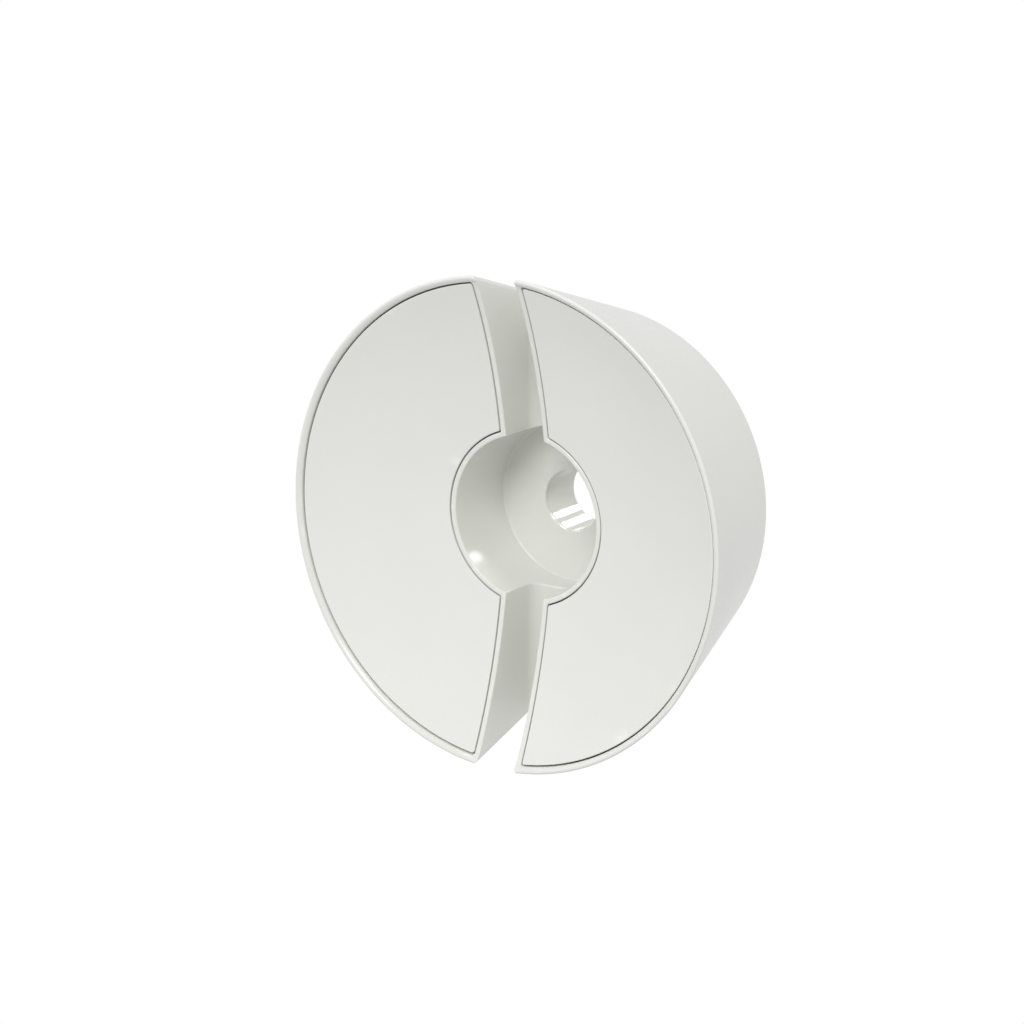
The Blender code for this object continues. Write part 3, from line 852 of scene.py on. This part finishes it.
def ranged(tree, value, low, high, from_low=0.3, from_high=0.7):
    """A value's range stretched to low..high and clamped."""
    node = tree.nodes.new("ShaderNodeMapRange")
    node.inputs["From Min"].default_value = from_low
    node.inputs["From Max"].default_value = from_high
    node.inputs["To Min"].default_value = low
    node.inputs["To Max"].default_value = high
    tree.links.new(value, node.inputs["Value"])
    return node.outputs["Result"]


def mixed(tree, factor, first, second):
    """Colour between first and second, each a colour or another node's output."""
    node = tree.nodes.new("ShaderNodeMix")
    node.data_type = "RGBA"
    tree.links.new(factor, node.inputs["Factor"])
    for socket, colour in ((node.inputs[6], first), (node.inputs[7], second)):
        if isinstance(colour, tuple):
            socket.default_value = (*colour, 1.0)
        else:
            tree.links.new(colour, socket)
    return node.outputs[2]


def bumped(tree, height, distance, strength, below=None):
    """Normal of a surface whose relief is distance metres, over another such normal if given."""
    node = tree.nodes.new("ShaderNodeBump")
    node.inputs["Distance"].default_value = distance
    node.inputs["Strength"].default_value = strength
    tree.links.new(height, node.inputs["Height"])
    if below:
        tree.links.new(below, node.inputs["Normal"])
    return node.outputs["Normal"]


def scaled(colour, factor, offset=0.0):
    return tuple(min(1.0, channel * factor + offset) for channel in colour)


def worn_edges(tree):
    """0 on flat surfaces and 1 on exposed edges."""
    pointiness = tree.nodes.new("ShaderNodeNewGeometry").outputs["Pointiness"]
    return ranged(tree, pointiness, 0.0, 1.0, 0.51, 0.60)


def painted_gap_shade(tree):
    """Painted shade: 1 deep in the narrow gaps round the covers, where shade falls, else 0."""
    shade = tree.nodes.new("ShaderNodeAmbientOcclusion")
    shade.samples = 8
    shade.inputs["Distance"].default_value = GAP_SHADE_REACH
    return ranged(tree, shade.outputs["AO"], 1.0, 0.0, 0.06, 0.26)


def moulded_plastic(name, colour, roughness, grain):
    """Satin moulded plastic: faint flow mottling, fine spark-eroded grain, paler worn edges, and
    painted shade deep in narrow gaps.
    """
    material, tree, shader, coordinates = material_nodes(name)
    flow = noise(tree, coordinates, scale=45.0, detail=4.0, roughness=0.55)
    base = mixed(tree, ranged(tree, flow, 0.0, 1.0), scaled(colour, 0.975), colour)
    fleck = ranged(tree, noise(tree, coordinates, scale=2600.0, detail=1.0), 0.0, 0.06)
    base = mixed(tree, fleck, base, scaled(colour, 0.9))
    base = mixed(tree, worn_edges(tree), base, scaled(colour, 1.06))
    # painted shade: the colour darkens deep in narrow gaps, where ambient occlusion finds shade
    base = mixed(tree, painted_gap_shade(tree), base, GAP_SHADE_COLOUR)
    tree.links.new(base, shader.inputs["Base Color"])
    shine = noise(tree, coordinates, scale=120.0, detail=3.0)
    tree.links.new(ranged(tree, shine, roughness - 0.03, roughness + 0.04),
                   shader.inputs["Roughness"])
    shader.inputs["Specular IOR Level"].default_value = 0.5
    shader.inputs["IOR"].default_value = 1.5
    fine = bumped(tree, noise(tree, coordinates, scale=5200.0), grain, 0.35)
    waves = noise(tree, coordinates, scale=70.0, detail=1.0)
    tree.links.new(bumped(tree, waves, PLASTIC_WAVES, 0.5, fine), shader.inputs["Normal"])
    return material


def zinc_steel(name, colour, roughness):
    """Zinc-plated steel: crystalline patches of slightly different grey and gloss, fine rolling."""
    material, tree, shader, coordinates = material_nodes(name)
    cells = tree.nodes.new("ShaderNodeTexVoronoi")
    cells.inputs["Scale"].default_value = SPANGLE_SCALE
    tree.links.new(coordinates, cells.inputs["Vector"])
    spangle = tree.nodes.new("ShaderNodeSeparateColor")
    tree.links.new(cells.outputs["Color"], spangle.inputs["Color"])
    base = mixed(tree, spangle.outputs["Red"], scaled(colour, 0.82), colour)
    haze = ranged(tree, noise(tree, coordinates, scale=160.0, detail=4.0), 0.0, 0.35)
    base = mixed(tree, haze, base, scaled(colour, 0.7))
    tree.links.new(base, shader.inputs["Base Color"])
    shader.inputs["Metallic"].default_value = 1.0
    gloss = ranged(tree, spangle.outputs["Green"], roughness - 0.06, roughness + 0.1, 0.0, 1.0)
    tree.links.new(gloss, shader.inputs["Roughness"])
    rolling = noise(tree, coordinates, scale=3000.0, detail=3.0)
    tree.links.new(bumped(tree, rolling, STEEL_GRAIN, 0.5), shader.inputs["Normal"])
    return material


def soft_rubber(name, colour, roughness):
    """Dull moulded rubber with bloom in patches and a coarse grain."""
    material, tree, shader, coordinates = material_nodes(name)
    patches = noise(tree, coordinates, scale=90.0, detail=5.0, roughness=0.6)
    bloom = ranged(tree, patches, 0.0, 1.0)
    base = mixed(tree, bloom, colour, scaled(colour, 1.5, 0.01))
    dust = ranged(tree, noise(tree, coordinates, scale=1900.0), 0.0, 0.5, 0.55, 0.75)
    base = mixed(tree, dust, base, scaled(colour, 2.0, 0.02))
    tree.links.new(base, shader.inputs["Base Color"])
    tree.links.new(ranged(tree, bloom, roughness - 0.08, roughness + 0.06, 0.0, 1.0),
                   shader.inputs["Roughness"])
    shader.inputs["Specular IOR Level"].default_value = 0.35
    grain = noise(tree, coordinates, scale=2200.0, detail=4.0)
    tree.links.new(bumped(tree, grain, RUBBER_GRAIN, 0.7), shader.inputs["Normal"])
    return material


housing_plastic = moulded_plastic("housing_plastic", HOUSING_COLOUR, 0.19, MOULD_GRAIN)
cover_plastic = moulded_plastic("cover_plastic", COVER_COLOUR, 0.38, MOULD_GRAIN)
sleeve_plastic = moulded_plastic("sleeve_plastic", HOUSING_COLOUR, 0.08, POLISHED_GRAIN)
plate_steel = zinc_steel("plate_steel", PLATE_COLOUR, 0.36)
screw_steel = zinc_steel("screw_steel", SCREW_COLOUR, 0.28)
socket_rubber = soft_rubber("socket_rubber", SOCKET_COLOUR, 0.78)
pad_rubber = soft_rubber("pad_rubber", PAD_COLOUR, 0.84)


# The pieces, each on its body and in place of its CAD node

def put(item, node, body, material, sharp=SHARP_ANGLE):
    """The finished item on its body, in place of its CAD node."""
    finish_surface(item, material, sharp)
    item.name = node + "_surface"
    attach(item, body)
    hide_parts(node)


put(make_housing(), "housing", "body", housing_plastic)
for side_name, direction in SIDES.items():
    cover_name = side_name + "_cover"
    put(make_cover(cover_name + "_plate", direction), cover_name, side_name + "_lid",
        cover_plastic)
put(make_sleeve(), "bore_sleeve", "body", sleeve_plastic)
put(make_plate(), "back_plate", "body", plate_steel)
put(make_pad(), "base_pad", "body", pad_rubber, sharp=RIB_SHARP_ANGLE)
for side_name, direction in SIDES.items():
    for number, place_angle in enumerate(SCREW_ANGLES, 1):
        screw_name = f"{side_name}_plate_screw_{number}"
        put(make_screw(screw_name + "_turned", place_angle, direction), screw_name, "body",
            screw_steel)
        washer_name = f"{side_name}_washer_{number}"
        put(make_washer(washer_name + "_turned", place_angle, direction), washer_name, "body",
            screw_steel)
    for number, place_angle in enumerate(PEG_ANGLES, 1):
        socket_name = f"{side_name}_peg_socket_{number}"
        put(make_socket(socket_name + "_turned", place_angle, direction), socket_name, "body",
            socket_rubber)


# Stage, light and camera

FLOOR_Z = -0.0002
FLOOR_REACH = 3.0
FLOOR_HOLE = 0.0095         # hole under the bore, hidden by the base pad
BOARD_CENTRE = (-0.37, -0.17, -0.60)    # seen through the bore from the front
BOARD_REACH = 0.40
BOARD_HOLE = BOARD_REACH / 1000
DISC_STEPS = 96
STAGE_GLOW = 0.80
OBJECT_MIDDLE = (0.0, 0.0, 0.03)
ORIGIN = (0.0, 0.0, 0.0)


def glowing(name):
    """Plain white to the eye, which lights the object by STAGE_GLOW only."""
    material = bpy.data.materials.new(name)
    material.use_nodes = True
    tree = material.node_tree
    tree.nodes.clear()
    emission = tree.nodes.new("ShaderNodeEmission")
    emission.inputs["Color"].default_value = (1.0, 1.0, 1.0, 1.0)
    rays = tree.nodes.new("ShaderNodeLightPath").outputs["Is Camera Ray"]
    strength = ranged(tree, rays, STAGE_GLOW, 1.0, 0.0, 1.0)
    tree.links.new(strength, emission.inputs["Strength"])
    output = tree.nodes.new("ShaderNodeOutputMaterial")
    tree.links.new(emission.outputs["Emission"], output.inputs["Surface"])
    return material


def pale_disc(name, centre, inner, outer):
    """A level glowing disc with a hole, on the stage."""
    steps = DISC_STEPS
    angles = [2 * pi * i / steps for i in range(steps)]
    points = [(centre[0] + radius * cos(a), centre[1] + radius * sin(a), centre[2])
              for radius in (outer, inner) for a in angles]
    faces = [[i, (i + 1) % steps, steps + (i + 1) % steps, steps + i] for i in range(steps)]
    mesh = bpy.data.meshes.new(name)
    mesh.from_pydata(points, [], faces)
    item = bpy.data.objects.new(name, mesh)
    bpy.context.scene.collection.objects.link(item)
    mesh.materials.append(glowing("pale_" + name))


pale_disc("floor", (0.0, 0.0, FLOOR_Z), FLOOR_HOLE, FLOOR_REACH)
pale_disc("board", BOARD_CENTRE, BOARD_HOLE, BOARD_REACH)

world = bpy.data.worlds.new("studio")
bpy.context.scene.world = world
world.use_nodes = True
background = world.node_tree.nodes["Background"]
background.inputs["Color"].default_value = (0.992, 0.992, 1.0, 1.0)
background.inputs["Strength"].default_value = 0.62


def soft_light(name, place, target, size, power):
    """Round area light of a diameter in metres and a power in watts, aimed at a target."""
    light = bpy.data.lights.new(name, "AREA")
    light.shape = "DISK"
    light.size = size
    light.energy = power
    item = bpy.data.objects.new(name, light)
    item.location = place
    item.rotation_euler = (Vector(target) - Vector(place)).to_track_quat("-Z", "Y").to_euler()
    bpy.context.scene.collection.objects.link(item)


soft_light("key", (0.27, 0.60, 0.70), OBJECT_MIDDLE, 0.44, 4.3)
soft_light("left", (-0.85, 0.30, 0.45), OBJECT_MIDDLE, 0.60, 0.8)
# Two lights under the floor, which light the bore and the cup through the floor's hole.
soft_light("back_1", (0.161, 0.238, -0.41), ORIGIN, 0.12, 0.72)
soft_light("back_2", (-0.084, 0.275, -0.41), ORIGIN, 0.17, 0.50)

view = bpy.context.scene.view_settings
view.view_transform = "Standard"
view.look = "None"

CAMERA_PLACE = Vector((0.2504565, 0.1156185, 0.4079178))
CAMERA_RIGHT = Vector((0.8310344, -0.0005278, -0.5562207))
CAMERA_UP = Vector((-0.1354019, 0.9697256, -0.2032205))
CAMERA_BACK = Vector((0.5394888, 0.2441965, 0.8058039))
CAMERA_LENS = 82.358

camera_data = bpy.data.cameras.new("camera")
camera_data.lens = CAMERA_LENS
camera_data.sensor_width = 36.0
camera_data.clip_start = 0.01
camera_data.clip_end = 20.0
camera = bpy.data.objects.new("camera", camera_data)
turn_matrix = Matrix((CAMERA_RIGHT, CAMERA_UP, CAMERA_BACK)).transposed().to_4x4()
camera.matrix_world = Matrix.Translation(CAMERA_PLACE) @ turn_matrix
bpy.context.scene.collection.objects.link(camera)
bpy.context.scene.camera = camera

bpy.context.view_layer.update()
